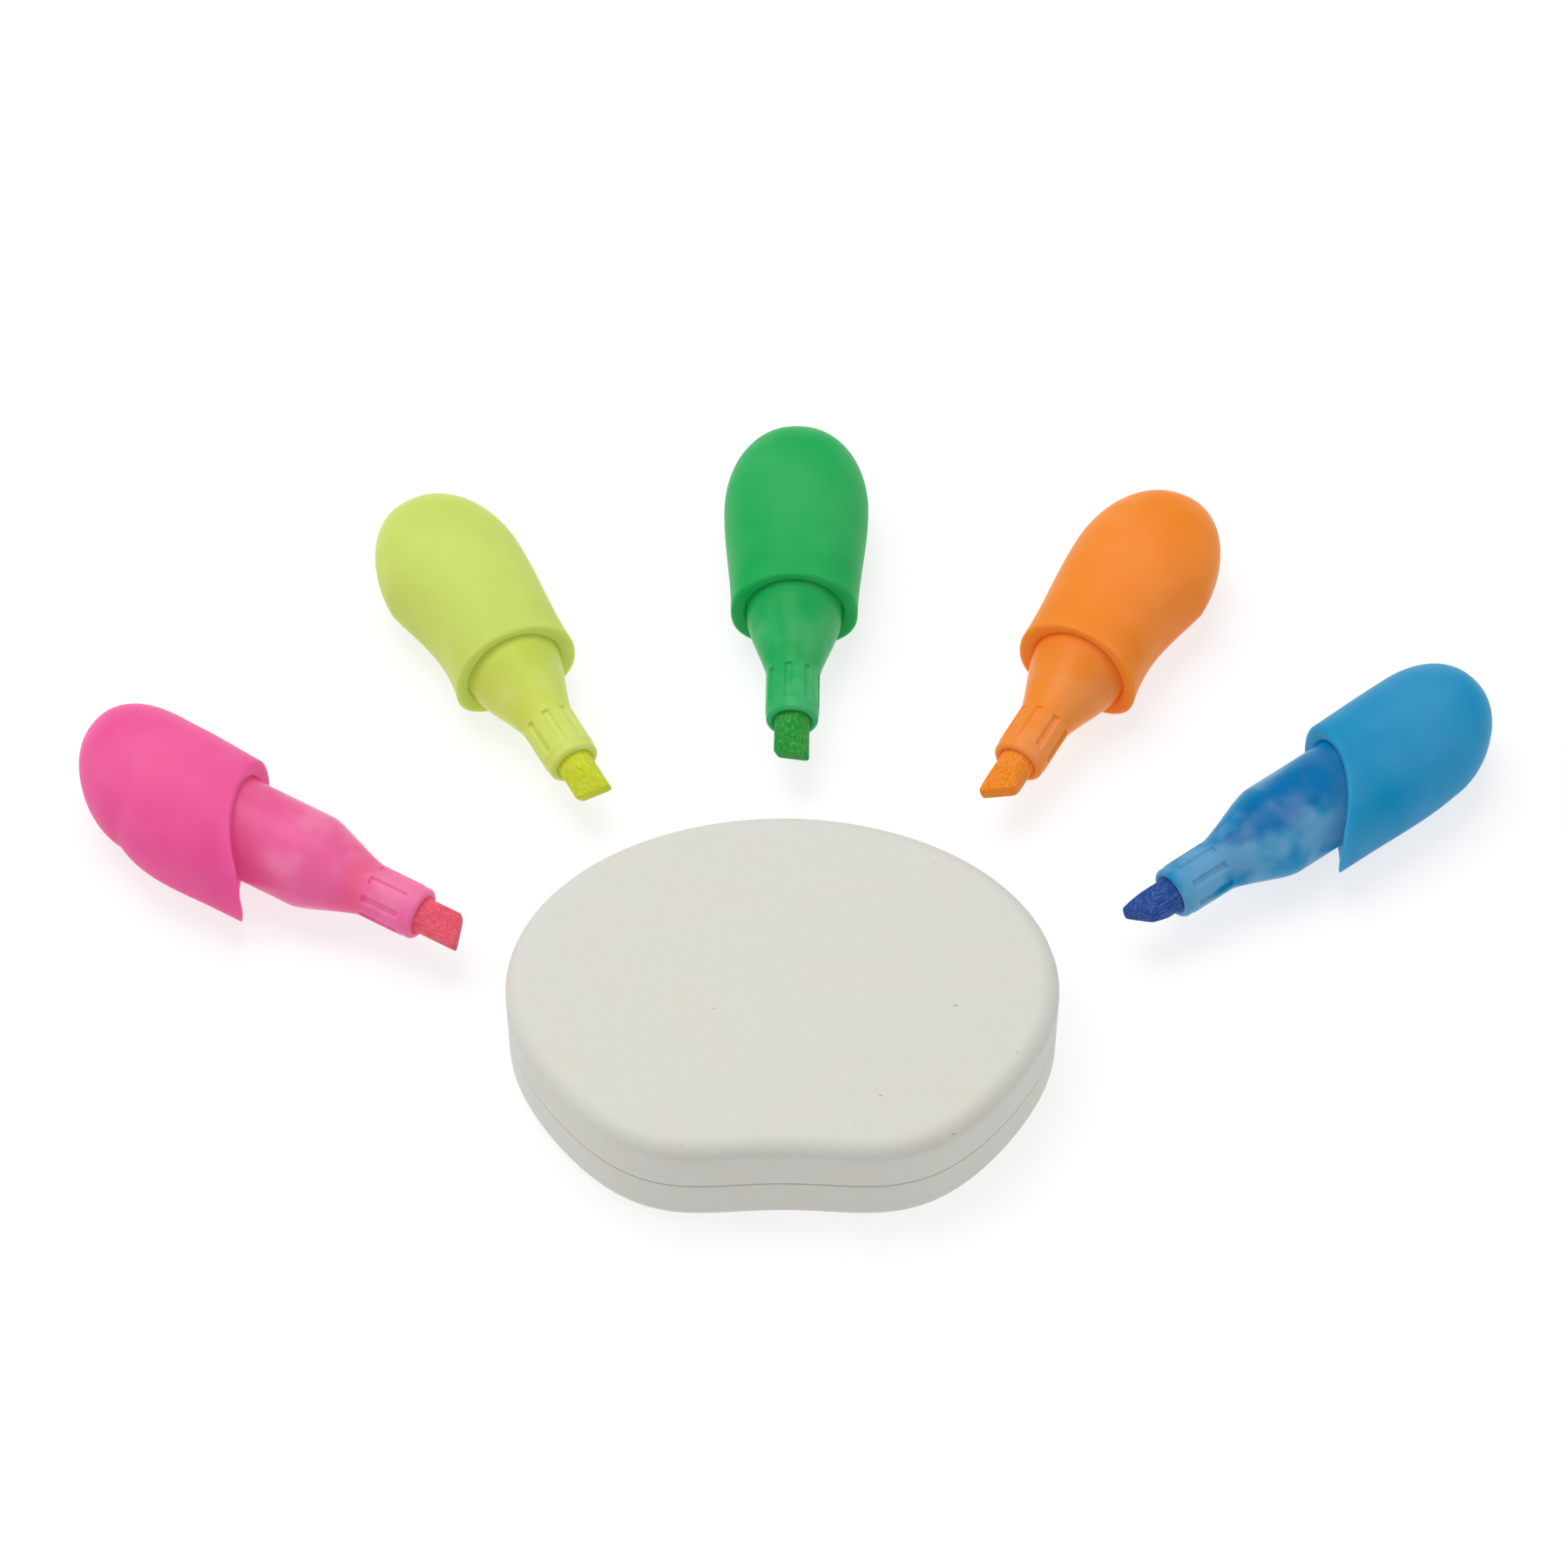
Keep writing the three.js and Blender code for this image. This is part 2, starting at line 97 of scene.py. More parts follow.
# What only the looks have: the slots round the neck, the collar in front of them, the ring in the shell's
# mouth that closes in on the barrel, and the reservoir's pointed front.
SLOTS = 8
SLOT_WIDTH = 1.0
SLOT_DEPTH = 0.42
SLOT_PHASE = math.radians(10)
COLLAR_WIDTH = 1.9
COLLAR_ROUND = 0.6
MOUTH_RING_GAP = 0.35
MOUTH_RING_DEPTH = 1.6
MOUTH_RING_FADE = 1.5
MOUTH_RING_RELEASE = 3  # how far the ring lets go of the cavity behind it
RIM_ROUND_OUTSIDE = 0.5
RIM_ROUND_INSIDE = 0.3
# Steps over the mouth's rim: the share of the way across the wall, and how far back from the edge.
RIM_STEPS = [(0.02, 0.28), (0.09, 0.12), (0.2, 0.02), (0.34, 0.0), (0.72, 0.0), (0.88, 0.04), (0.97, 0.14)]
RESERVOIR_POINT = 6
SOCKET_TOOL_END = 12  # how far past the case's outline the solids that cut its sockets run
PAINTED_GLOW = 0.35  # how much of its own colour each piece gives back as a painted glow that lifts its shaded sides, standing in for the dye's fluorescence and for light let through the plastic

# Each highlighter's own sizes, as in the CAD, and its colours: plastic for the shell, clear for the barrel,
# and ink for the nib and the reservoir. The last three say how strongly the nib's tail and the reservoir show
# through the barrel, and how pale its cloudy patches are.
PENS = {
    "pink": {
        "socket": 163, "shell": 28.6, "swell": 0.9,
        "dip": 0, "flare": 3, "lean": 3, "trim": 14, "roll": -10,
        "plastic": (0.616, 0.068, 0.239), "clear": (0.628, 0.100, 0.260), "ink": (0.622, 0.065, 0.109),
        "tail_shows": 0.4, "ink_shows": 0.06, "cloud": 0.1,
    },
    "yellow": {
        "socket": 121, "shell": 32.2, "swell": 1.3,
        "dip": 1.3, "flare": 0, "lean": 0, "trim": 0, "roll": 150,
        "plastic": (0.426, 0.514, 0.098), "clear": (0.456, 0.530, 0.096), "ink": (0.441, 0.498, 0.008),
        "tail_shows": 0.2, "ink_shows": 0.2, "cloud": 0.08,
    },
    "green": {
        "socket": 88.5, "shell": 31.5, "swell": 1.3,
        "dip": 0, "flare": 0, "lean": 0, "trim": 0, "roll": 160,
        "plastic": (0.001, 0.294, 0.065), "clear": (0.013, 0.310, 0.087), "ink": (0.000, 0.215, 0.013),
        "tail_shows": 0.2, "ink_shows": 0.2, "cloud": 0.06,
    },
    "orange": {
        "socket": 53.9, "shell": 33, "swell": 1.3,
        "dip": 1.3, "flare": 0, "lean": 0, "trim": 0, "roll": -20,
        "plastic": (0.653, 0.186, 0.009), "clear": (0.659, 0.199, 0.027), "ink": (0.665, 0.183, 0.000),
        "tail_shows": 0.25, "ink_shows": 0.2, "cloud": 0.06,
    },
    "blue": {
        "socket": 13.8, "shell": 27.4, "swell": 0.4,
        "dip": 0, "flare": 0.8, "lean": 1.6, "trim": 6, "roll": -30,
        "plastic": (0.000, 0.202, 0.389), "clear": (0.000, 0.183, 0.370), "ink": (0.000, 0.041, 0.215),
        "tail_shows": 0.15, "ink_shows": 0.5, "cloud": 0.16,
    },
}

AROUND = 128


# ---- Meshes ----

def lofted(name, rings, loop=False):
    """A smooth mesh skinned over rings of points, in metres. A ring of one point is a pole."""
    points = [p for ring in rings for p in ring]
    starts = np.cumsum([0] + [len(ring) for ring in rings])
    faces = []
    pairs = list(zip(range(len(rings) - 1), range(1, len(rings))))
    if loop:
        pairs.append((len(rings) - 1, 0))
    for a, b in pairs:
        count = max(len(rings[a]), len(rings[b]))
        for i in range(count):
            j = (i + 1) % count
            low = [starts[a] + i, starts[a] + j] if len(rings[a]) > 1 else [starts[a]]
            high = [starts[b] + j, starts[b] + i] if len(rings[b]) > 1 else [starts[b]]
            faces.append([int(v) for v in low + high])
    mesh = bpy.data.meshes.new(name)
    mesh.from_pydata([tuple(p) for p in points], [], faces)
    mesh.update()
    thing = bpy.data.objects.new(name, mesh)
    bpy.context.scene.collection.objects.link(thing)
    for polygon in mesh.polygons:
        polygon.use_smooth = True
    return thing


def face_outwards(thing):
    """Turns the faces round if the closed mesh is inside out."""
    mesh = thing.data
    mesh.calc_loop_triangles()
    co = np.array([v.co for v in mesh.vertices])
    tri = np.array([t.vertices for t in mesh.loop_triangles])
    volume = np.einsum("ij,ij->i", co[tri[:, 0]], np.cross(co[tri[:, 1]], co[tri[:, 2]])).sum()
    if volume < 0:
        mesh.flip_normals()
    return thing


def angles(count=AROUND):
    return np.arange(count) * 2 * math.pi / count


# ---- The case's outline ----

def outline(turn, inset=0.0):
    """Points round the case: an ellipse whose near side swells into two lobes, drawn in by inset."""
    def on_curve(t):
        across = np.sin(t)
        near = across < 0
        lobe = np.where(near, LOBE_SWELL * across ** 2 * np.sin(2 * t) ** 2, 0)
        dent = np.where(near, WAIST_DENT * across ** 16, 0)
        y = CASE_DEPTH / 2 * across * (1 + lobe - dent)
        return np.stack([CASE_LENGTH / 2 * np.cos(t), y], axis=1)

    step = 1e-3
    along = on_curve(turn + step) - on_curve(turn - step)
    along /= np.linalg.norm(along, axis=1, keepdims=True)
    outward = np.stack([along[:, 1], -along[:, 0]], axis=1)
    return on_curve(turn) - outward * inset


# ---- Where each highlighter lies ----

class Place:
    """A highlighter's own frame: y runs along its axis, the way it is pulled out, x across it and z up. Its
    origin is where its axis meets the case's outline when it is stowed."""

    def __init__(self, name, pen):
        joint = next(j for j in frame["joints"] if j["name"] == name + "_stow")
        self.pull = -np.array(joint["axis"])
        self.across = np.array([self.pull[1], -self.pull[0], 0])
        mouth = outline(np.radians([pen["socket"]]))[0]
        self.seat = np.array([*mouth, CASE_HEIGHT / 2]) * MM
        self.origin = self.seat + self.pull * joint["range_m"][1]
        nib = np.array([v.co for v in frame["nodes"][name + "_nib"].data.vertices])
        self.tip = ((nib - self.origin) @ self.pull).min() / MM
        self.neck_end = self.tip + NIB_REACH
        self.neck_start = self.neck_end + NECK_LENGTH
        self.belly = pen["shell"] * BELLY_SHARE
        self.barrel_end = self.belly + BARREL_TAIL
        self.outer = 1 if self.pull[0] >= 0 else -1

    def world(self, local, stowed=False):
        """Points in millimetres in this frame as points in metres in the row's frame."""
        local = np.atleast_2d(local) * MM
        start = self.seat if stowed else self.origin
        return start + local[:, :1] * self.across + local[:, 1:2] * self.pull + local[:, 2:] * [0, 0, 1]

    def seated(self, flat):
        """Points on the case's outline, in millimetres, as x and y in this frame when stowed."""
        offset = flat - self.seat[:2] / MM
        return np.stack([offset @ self.across[:2], offset @ self.pull[:2]], axis=1)


def turned(name, place, profile, around=AROUND, loop=True, stowed=False, dent=None):
    """A solid turned about a highlighter's axis. profile is a list of (radius, y); dent(angle, y) is how far
    the surface sinks in there."""
    turn = angles(around)
    rings = []
    for radius, y in profile:
        if radius == 0:
            rings.append(place.world([[0, y, 0]], stowed))
            continue
        reach = radius - (dent(turn, y, radius) if dent else 0)
        ring = np.stack([reach * np.cos(turn), np.full(around, float(y)), reach * np.sin(turn)], axis=1)
        rings.append(place.world(ring, stowed))
    return face_outwards(lofted(name, rings, loop))


def arc(centre, radius, start, end, steps=5):
    """Points of an arc in a profile, its angles in degrees."""
    span = np.radians(np.linspace(start, end, steps))
    return [(centre[0] + radius * math.cos(a), centre[1] + radius * math.sin(a)) for a in span]


# ---- The highlighter's shell ----

def eased(x):
    x = np.clip(x, 0, 1)
    return x * x * (3 - 2 * x)


def shell_section(place, pen, y, side, cavity):
    """Half width, half thickness and sideways shift of the shell at y, on its outside or in its cavity."""
    end = pen["shell"] - SHELL_END_WALL * cavity
    forward = np.clip(y / place.belly, 0, 1)
    swell = pen["swell"] * eased(forward)
    flare = pen["flare"] * (1 - forward ** FLARE_EXPONENT)
    dip = pen["dip"] * np.sin(math.pi * forward)
    swell = swell + np.where(side == place.outer, flare - dip, 0)
    back = np.clip((y - place.belly) / (end - place.belly), 0, 1)
    closing = np.sqrt(1 - back ** 2)
    inward = 1 - cavity * SHELL_SIDE_WALL / (MOUTH_HALF_WIDTH + pen["swell"])
    wide = (MOUTH_HALF_WIDTH + swell) * inward * closing
    tall = (SHELL_HALF_THICKNESS - cavity * SHELL_FACE_WALL) * closing
    return wide, tall, -place.outer * pen["lean"] * back ** LEAN_EXPONENT


def mouth_line(place, pen):
    """x and y along the edge that the shell's mouth is cut to: the case's outline, a gap away from it."""
    flat = place.seated(outline(np.linspace(0, 2 * math.pi, 720), -SEAT_GAP))
    hinge = np.array([place.outer * MOUTH_HALF_WIDTH, -TRIM_HINGE])
    swing = math.radians(-place.outer * pen["trim"])
    turn = np.array([[math.cos(swing), -math.sin(swing)], [math.sin(swing), math.cos(swing)]])
    xs = np.linspace(-MOUTH_REACH, MOUTH_REACH, 113)
    edges = []
    for line in (flat, (flat - hinge) @ turn.T + hinge):
        facing = line[(line[:, 1] > -MOUTH_REACH) & (abs(line[:, 0]) < MOUTH_REACH + 1)]
        facing = facing[np.argsort(facing[:, 0])]
        edges.append(np.interp(xs, facing[:, 0], facing[:, 1]))
    return xs, np.max(edges, axis=0)


def shell_rings(place, pen):
    """Rings up the outside from its back end to the mouth, over the rounded rim, and back in the cavity."""
    turn = angles()
    cosine, sine = np.cos(turn), np.sin(turn)
    square = (abs(cosine) ** SECTION_EXPONENT + abs(sine) ** SECTION_EXPONENT) ** (-1 / SECTION_EXPONENT)
    side = np.where(cosine >= 0, 1, -1)
    edge_x, edge_y = mouth_line(place, pen)

    def section(y, cavity, from_mouth):
        wide, tall, aside = shell_section(place, pen, y, side, cavity)
        x, z = wide * square * cosine + aside, tall * square * sine
        if cavity:
            behind_ring = eased((from_mouth - MOUTH_RING_DEPTH) / MOUTH_RING_FADE)
            opening = BARREL_RADIUS + MOUTH_RING_GAP + MOUTH_RING_RELEASE * behind_ring
            drawn_in = np.minimum(1, opening / np.maximum(np.hypot(x, z), 1e-6))
            x, z = x * drawn_in, z * drawn_in
        return x, z

    def ring(share, cavity, back=0.0):
        """share runs from 0 at the mouth through 1 at the belly to 2 at the back end."""
        x, _ = section(np.zeros(AROUND), cavity, 0)
        start = np.interp(x, edge_x, edge_y) + back
        if share <= 1:
            y = start + (place.belly - start) * share
        else:
            end = pen["shell"] - SHELL_END_WALL * cavity
            y = np.full(AROUND, place.belly + (end - place.belly) * math.sin((share - 1) * math.pi / 2))
        x, z = section(y, cavity, y - start)
        return np.stack([x, y, z], axis=1)

    def skin(cavity, back):
        rings = [ring(share ** 1.4, cavity, back) for share in np.linspace(0, 1, 26)]
        rings += [ring(share, cavity) for share in np.linspace(1, 2, 26)[1:-1]]
        pole = [-place.outer * pen["lean"], pen["shell"] - SHELL_END_WALL * cavity, 0]
        return [place.world(one) for one in rings] + [place.world([pole])]

    def rim_ring(share, back):
        outer, inner = (section(np.zeros(AROUND), cavity, 0) for cavity in (0, 1))
        x, z = (a + (b - a) * share for a, b in zip(outer, inner))
        return place.world(np.stack([x, np.interp(x, edge_x, edge_y) + back, z], axis=1))

    rim = [rim_ring(*step) for step in RIM_STEPS]
    return skin(0, RIM_ROUND_OUTSIDE)[::-1] + rim + skin(1, RIM_ROUND_INSIDE)


# ---- The barrel, and what is inside it ----

def shoulder(place, grown=0.0, steps=24):
    """The bottle shape between the neck and the barrel, as (radius, y)."""
    start = place.neck_start
    low, high = NECK_RADIUS + grown, BARREL_RADIUS + grown
    ends = [(low, start), (low, start + SHOULDER_LENGTH * SHOULDER_EASE[0]),
            (high, start + SHOULDER_LENGTH * SHOULDER_EASE[1]), (high, start + SHOULDER_LENGTH)]
    points = []
    for t in np.linspace(0, 1, steps):
        weights = [(1 - t) ** 3, 3 * t * (1 - t) ** 2, 3 * t * t * (1 - t), t ** 3]
        points.append(tuple(sum(w * end[k] for w, end in zip(weights, ends)) for k in (0, 1)))
    return points


def barrel(name, place, pen):
    bore = NIB_RADIUS + GAP
    chamber = BARREL_RADIUS - BARREL_WALL
    slot_low = place.neck_end + COLLAR_WIDTH
    slot_high = place.neck_start - 0.1

    def slots(turn, y, radius):
        """Long shallow slots in the neck, between the collar and the shoulder, with crisp edges."""
        if radius < bore + BARREL_WALL / 2 or y < slot_low or y > slot_high:
            return 0
        lengthwise = float(eased(min(y - slot_low, slot_high - y) / 0.25))
        pitch = 2 * math.pi / SLOTS
        from_middle = abs((turn - SLOT_PHASE + pitch / 2) % pitch - pitch / 2) * NECK_RADIUS
        return SLOT_DEPTH * lengthwise * eased((SLOT_WIDTH / 2 + 0.1 - from_middle) / 0.2)

    steps = [0, 0.06, 0.12, 0.19, 0.27]
    neck = [(NECK_RADIUS, slot_low + step) for step in steps]
    neck += [(NECK_RADIUS, y) for y in np.linspace(slot_low + 0.6, slot_high - 0.6, 8)]
    neck += [(NECK_RADIUS, slot_high - step) for step in steps[::-1]]
    front = (COLLAR_RADIUS - COLLAR_ROUND, place.neck_end + COLLAR_ROUND)
    outside = arc(front, COLLAR_ROUND, -90, 0, 7)
    outside += [(COLLAR_RADIUS, slot_low - 0.5), (NECK_RADIUS, slot_low - 0.25)]
    outside += neck + shoulder(place)
    flat = np.linspace(place.neck_start + SHOULDER_LENGTH, place.barrel_end - 0.5, 12)
    outside += [(BARREL_RADIUS, y) for y in flat[1:]]
    outside += arc((BARREL_RADIUS - 0.4, place.barrel_end - 0.4), 0.4, 0, 90, 4)
    inside = [(chamber, place.barrel_end), (chamber, place.neck_start + SHOULDER_LENGTH)]
    inside += [(bore, place.neck_start + BORE_LEAD)]
    inside += [(bore, place.neck_end + 0.2), (bore + 0.2, place.neck_end)]
    return turned(name, place, outside + inside, around=208, dent=slots)


def nib(name, place, pen):
    """A round felt stick whose end slopes in from both flat sides to a slanted edge."""
    tail = place.neck_end + NIB_TAIL
    around = 120
    turn = angles(around)
    slope = CHISEL_LENGTH / (NIB_RADIUS - NIB_EDGE / 2)
    roll = math.radians(pen["roll"])

    def end(x, z):
        edge = np.full_like(x, NIB_RADIUS * math.tan(CHISEL_SLANT))
        bevel = np.clip(abs(z) - NIB_EDGE / 2, 0, None) * slope / math.cos(CHISEL_SLANT)
        return place.tip + x * math.tan(CHISEL_SLANT) + np.maximum(edge, bevel)

    def ring(x, y, z):
        across = x * math.cos(roll) + z * math.sin(roll)
        up = z * math.cos(roll) - x * math.sin(roll)
        return place.world(np.stack([across, y, up], axis=1))

    # The rings across the end lie close together at the writing edge and at the rim, which is rounded.
    rings = [place.world([[0, float(end(np.zeros(1), np.zeros(1))[0]), 0]])]
    for share in np.linspace(0, 1, 30)[1:]:
        x, z = NIB_RADIUS * share * np.cos(turn), NIB_RADIUS * share * np.sin(turn)
        rings.append(ring(x, end(x, z) + 0.3 * share ** 14, z))
    x, z = NIB_RADIUS * np.cos(turn), NIB_RADIUS * np.sin(turn)
    low = end(x, z) + 0.3
    for share in np.linspace(0, 1, 16)[1:]:
        rings.append(ring(x, low + (tail - low) * share, z))
    rings.append(place.world([[0, tail, 0]]))
    return face_outwards(lofted(name, rings))


def reservoir(name, place, pen):
    """The felt rod that holds the ink, with a point that runs forward to the nib's tail."""
    low = max(place.neck_end + NIB_TAIL + GAP, place.neck_start + SHOULDER_LENGTH)
    high = place.barrel_end - PLUG_LENGTH - GAP
    radius = BARREL_RADIUS - BARREL_WALL - RESERVOIR_CLEARANCE
    profile = [(0, low - RESERVOIR_POINT)]
    for share in np.linspace(0, 1, 12)[1:]:
        profile.append((0.6 + (radius - 1.1) * share ** 1.2, low - RESERVOIR_POINT * (1 - share)))
    profile += [(radius - 0.1, low + 0.6), (radius, low + 1.2)]
    profile += arc((radius - 0.5, high - 0.5), 0.5, 0, 90, 4) + [(0, high)]
    return turned(name, place, profile, 72, loop=False)


def tail_plug(name, place, pen):
    back = place.barrel_end
    radius = BARREL_RADIUS - BARREL_WALL - GAP
    profile = [(0, back - PLUG_LENGTH)]
    profile += arc((radius - 0.3, back - PLUG_LENGTH + 0.3), 0.3, -90, 0, 3)
    profile += [(radius, back + GAP), (BARREL_RADIUS, back + GAP)]
    profile += arc((BARREL_RADIUS - 0.3, back + GAP + PLUG_FLANGE - 0.3), 0.3, 0, 90, 3)
    profile += [(0, back + GAP + PLUG_FLANGE)]
    return turned(name, place, profile, 72, loop=False)


# ---- The case ----

def case_ring(inset, z, count=320):
    flat = outline(angles(count), inset)
    return np.column_stack([flat, np.full(count, float(z))]) * MM


def case_shell(name, up):
    """One half of the case: its outside, its rounded edge and its inside. up is 1 for the top, -1 below."""
    middle = CASE_HEIGHT / 2

    def ring(inset, rise):
        return case_ring(inset, middle + up * rise)

    seam = GAP / 4
    inner_edge = CASE_EDGE - CASE_FACE_WALL
    outside = [(0.08, seam), (0.02, seam + 0.03), (0, seam + 0.09)]
    outside += [(0, rise) for rise in np.linspace(seam + 0.6, middle - CASE_EDGE, 5)]
    for a in np.radians(np.linspace(0, 90, 12)[1:]):
        outside.append((CASE_EDGE * (1 - math.cos(a)), middle - CASE_EDGE * (1 - math.sin(a))))
    inside = [(CASE_WALL, seam), (CASE_WALL, middle - CASE_EDGE)]
    for a in np.radians([30, 60, 90]):
        inside.append((CASE_WALL + inner_edge * (1 - math.cos(a)),
                       middle - CASE_FACE_WALL - inner_edge * (1 - math.sin(a))))
    rings = [ring(*step) for step in outside]
    rim = rings[-1]
    for share in (0.97, 0.85, 0.6, 0.3):
        rings.append(rim * [share, share, 1])
    rings.append(np.array([[0, 0, rim[0][2]]]))
    inner = [ring(*step) for step in inside]
    ceiling = inner[-1]
    inner += [ceiling * [0.6, 0.6, 1], np.array([[0, 0, ceiling[0][2]]])]
    return face_outwards(lofted(name, rings[::-1] + inner))


def cut(thing, tools):
    """Cuts every tool out of the mesh and takes the tools away."""
    for tool in tools:
        step = thing.modifiers.new("socket", "BOOLEAN")
        step.operation = "DIFFERENCE"
        step.solver = "EXACT"
        step.object = tool
    bpy.context.view_layer.update()
    graph = bpy.context.evaluated_depsgraph_get()
    made = bpy.data.meshes.new_from_object(thing.evaluated_get(graph))
    thing.modifiers.clear()
    thing.data = made
    return thing


def socket_tools(places):
    tools = []
    for name, place in places.items():
        profile = [(0, place.neck_start)] + shoulder(place, CLEARANCE, 8)
        profile += [(BARREL_RADIUS + CLEARANCE, SOCKET_TOOL_END), (0, SOCKET_TOOL_END)]
        tools.append(turned(name + "_socket_tool", place, profile, 96, loop=False, stowed=True))
    return tools


def cap_sleeve(name, place):
    """The cup in the case that the neck and nib stow in."""
    bore = NECK_RADIUS + CLEARANCE
    nib_bore = NIB_RADIUS + NIB_CLEARANCE
    wall = SLEEVE_WALL
    flange = bore + wall + SLEEVE_FLANGE
    mouth = place.neck_start + SLEEVE_LEAD
    flange_back = mouth - SLEEVE_FLANGE_THICKNESS
    step = place.neck_end - CLEARANCE
    floor = place.tip - NIB_CLEARANCE
    outside = [(0, floor - wall), (nib_bore - wall, floor - wall), (nib_bore + wall, floor + wall),
               (nib_bore + wall, step - SLEEVE_TAPER), (bore + wall, step), (bore + wall, flange_back),
               (flange, flange_back)]
    outside += arc((flange - 0.2, mouth - 0.2), 0.2, 0, 90, 3)
    inside = [(bore + SLEEVE_FLANGE / 2, mouth), (bore, place.neck_start), (bore, step), (nib_bore, step),
              (nib_bore, floor + wall), (nib_bore - wall, floor), (0, floor)]
    return turned(name, place, outside + inside, 72, loop=False, stowed=True)


# ---- Materials ----

def material(name, colour, **sockets):
    made = bpy.data.materials.new(name)
    made.use_nodes = True
    shader = made.node_tree.nodes["Principled BSDF"]
    shader.inputs["Base Color"].default_value = (*colour, 1)
    for socket, value in sockets.items():
        shader.inputs[socket.replace("_", " ")].default_value = value
    return made, made.node_tree, shader


def object_frame(tree):
    return tree.nodes.new("ShaderNodeTexCoord").outputs["Object"]


def pen_frame(tree, place, scale=(1, 1, 1)):
    """A highlighter's own frame in millimetres, squeezed by scale, for patterns that run along its axis."""
    made = tree.nodes.new("ShaderNodeMapping")
    made.vector_type = "TEXTURE"
    made.inputs["Location"].default_value = tuple(place.origin)
    made.inputs["Rotation"].default_value = (0, 0, math.atan2(place.across[1], place.across[0]))
    made.inputs["Scale"].default_value = tuple(MM / share for share in scale)
    tree.links.new(object_frame(tree), made.inputs["Vector"])
    return made.outputs["Vector"]


def noise(tree, scale, detail=3.0, rough=0.5, where=None):
    made = tree.nodes.new("ShaderNodeTexNoise")
    made.inputs["Scale"].default_value = scale
    made.inputs["Detail"].default_value = detail
    made.inputs["Roughness"].default_value = rough
    tree.links.new(where or object_frame(tree), made.inputs["Vector"])
    return made.outputs["Fac"]


def ramp(tree, value, stops):
    made = tree.nodes.new("ShaderNodeValToRGB")
    elements = made.color_ramp.elements
    while len(elements) < len(stops):
        elements.new(0.5)
    for element, (position, colour) in zip(elements, stops):
        element.position = position
        element.color = (*colour, 1)
    tree.links.new(value, made.inputs["Fac"])
    return made.outputs["Color"]


def span(tree, value, low, high, start=0.0, end=1.0):
    """Carries value from start..end over to low..high, and no further."""
    made = tree.nodes.new("ShaderNodeMapRange")
    made.interpolation_type = "SMOOTHSTEP"
    made.inputs["From Min"].default_value = start
    made.inputs["From Max"].default_value = end
    made.inputs["To Min"].default_value = low
    made.inputs["To Max"].default_value = high
    tree.links.new(value, made.inputs["Value"])
    return made.outputs["Result"]


def sums(tree, operation, *values):
    made = tree.nodes.new("ShaderNodeMath")
    made.operation = operation
    for socket, value in zip(made.inputs, values):
        if isinstance(value, bpy.types.NodeSocket):
            tree.links.new(value, socket)
        else:
            socket.default_value = value
    return made.outputs["Value"]


def mixed(tree, factor, first, second, blend="MIX"):
    made = tree.nodes.new("ShaderNodeMix")
    made.data_type = "RGBA"
    made.blend_type = blend
    for socket, value in ((made.inputs["Factor"], factor), (made.inputs[6], first), (made.inputs[7], second)):
        if isinstance(value, bpy.types.NodeSocket):
            tree.links.new(value, socket)
        else:
            socket.default_value = value if isinstance(value, float) else (*value, 1)
    return made.outputs[2]


def bumped(tree, shader, height, distance, strength=1.0):
    made = tree.nodes.new("ShaderNodeBump")
    made.inputs["Distance"].default_value = distance
    made.inputs["Strength"].default_value = strength
    tree.links.new(height, made.inputs["Height"])
    tree.links.new(made.outputs["Normal"], shader.inputs["Normal"])


def tint(colour, factor):
    return tuple(min(1.0, c * factor) for c in colour)


def towards(colour, other, share):
    return tuple(c + (o - c) * share for c, o in zip(colour, other))


def glow(tree, shader, colour):
    """A painted glow: the piece gives back a little of its own colour whatever light reaches it, which lifts
    its shaded sides; it stands in for the dye's fluorescence and for light let through the plastic.
    """
    tree.links.new(colour, shader.inputs["Base Color"])
    tree.links.new(colour, shader.inputs["Emission Color"])
    shader.inputs["Emission Strength"].default_value = PAINTED_GLOW


def shell_plastic(name, place, pen):
    """Frosted translucent plastic, a little cloudy from the moulding, with painted shade that makes it deeper
    in colour underneath.
    """
    colour = pen["plastic"]
    made, tree, shader = material(
        name, colour, Roughness=0.4, IOR=1.46, Specular_IOR_Level=0.08, Subsurface_Weight=0.6,
        Subsurface_Scale=0.004, Subsurface_Radius=(1.0, 1.0, 1.0))
    where = pen_frame(tree, place)
    along = tree.nodes.new("ShaderNodeSeparateXYZ")
    tree.links.new(where, along.inputs["Vector"])
    cloud = noise(tree, 0.09, 2, where=where)
    shade = ramp(tree, cloud, [(0.3, tint(colour, 0.94)), (0.7, towards(colour, (1, 1, 1), 0.03))])
    # Painted shade: the colour grows deeper towards the shell's underside.
    low = span(tree, along.outputs["Z"], 0.9, 0.0, -7.0, 4.0)
    shade = mixed(tree, low, shade, tuple(c ** 1.3 for c in colour))
    glow(tree, shader, shade)
    tree.links.new(span(tree, noise(tree, 0.4, 2, where=where), 0.34, 0.47), shader.inputs["Roughness"])
    bumped(tree, shader, noise(tree, 2.5, 3, where=where), 0.00002, 0.3)
    return made


